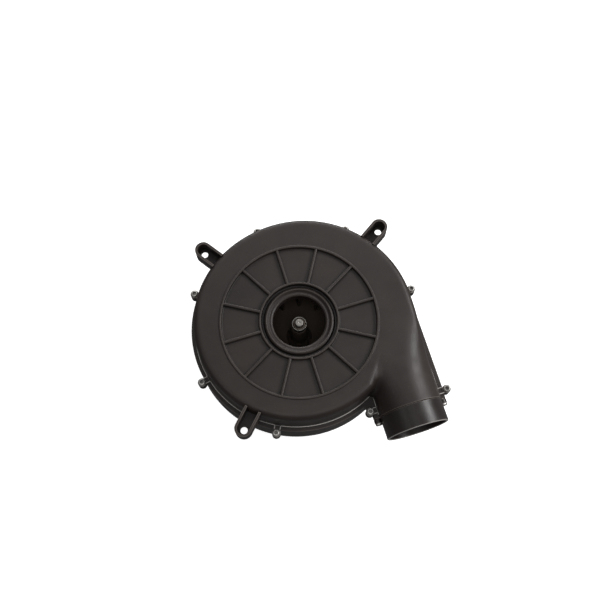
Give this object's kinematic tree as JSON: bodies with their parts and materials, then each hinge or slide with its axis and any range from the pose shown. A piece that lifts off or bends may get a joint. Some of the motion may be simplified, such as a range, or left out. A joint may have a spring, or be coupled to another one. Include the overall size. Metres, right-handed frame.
{
  "type": "combustion fan",
  "caption": "Draft-inducer fan: a snail-shell housing with a round outlet collar and a centrifugal wheel, driven by a ventilated motor hung behind it on rubber isolators.",
  "frame": {"origin": "centre of the motor's flat rear end face, on the shaft's axis", "axes": "+Z along the shaft towards the inlet; +X to the right and +Y up when the inlet faces the viewer and the outlet points down at the right"},
  "size_m": [0.2526, 0.2188, 0.144],
  "materials": {
    "housing_plastic": "glass-filled black polypropylene, satin, slightly pebbled",
    "collar_plastic": "black moulded plastic, satin",
    "wheel_plastic": "black moulded plastic, satin",
    "rubber": "black elastomer, dull",
    "screw_steel": "zinc-plated steel",
    "shaft_steel": "ground steel with a mottled oxide film",
    "spring_steel": "spring steel strip",
    "motor_frame": "zinc-plated pressed steel",
    "plate_steel": "zinc-plated sheet steel",
    "lamination_steel": "stacked electrical steel, varnished edge",
    "copper": "enamelled copper wire",
    "cast_aluminium": "die-cast aluminium",
    "bearing_steel": "ground bearing steel",
    "connector_nylon": "natural nylon",
    "terminal_brass": "tin-brass blade"
  },
  "bodies": {
    "housing": {"front_shell": "housing_plastic", "rear_shell": "housing_plastic", "housing_gasket": "rubber", "outlet_collar": "collar_plastic", "shell_screw_1": "screw_steel", "shell_screw_2": "screw_steel", "shell_screw_3": "screw_steel", "shell_screw_4": "screw_steel", "shell_screw_5": "screw_steel", "shell_screw_6": "screw_steel", "shell_screw_7": "screw_steel", "shell_screw_8": "screw_steel", "collar_screw_1": "screw_steel", "collar_screw_2": "screw_steel", "shaft_seal": "rubber", "motor_plate": "plate_steel", "isolator_1": "rubber", "isolator_2": "rubber", "isolator_3": "rubber", "plate_screw_1": "screw_steel", "plate_screw_2": "screw_steel", "plate_screw_3": "screw_steel", "motor_front_bell": "motor_frame", "motor_rear_bell": "motor_frame", "stator_core": "lamination_steel", "stator_winding": "copper", "front_bearing": "bearing_steel", "rear_bearing": "bearing_steel", "preload_washer": "spring_steel", "through_bolt_1": "screw_steel", "through_bolt_2": "screw_steel", "through_bolt_3": "screw_steel", "through_bolt_4": "screw_steel", "through_nut_1": "screw_steel", "through_nut_2": "screw_steel", "through_nut_3": "screw_steel", "through_nut_4": "screw_steel", "connector_housing": "connector_nylon", "connector_blade_1": "terminal_brass", "connector_blade_2": "terminal_brass", "ground_tab": "terminal_brass"},
    "rotor": {"shaft": "shaft_steel", "impeller": "wheel_plastic", "hub_clip": "spring_steel", "cooling_fan": "wheel_plastic", "rotor_core": "lamination_steel", "rotor_end_ring_front": "cast_aluminium", "rotor_end_ring_rear": "cast_aluminium"}
  },
  "joints": [
    {"name": "rotor_spin", "type": "hinge", "parent": "housing", "child": "rotor", "pos_m": [0, 0, 0.1], "axis": [0, 0, 1], "continuous": true}
  ]
}
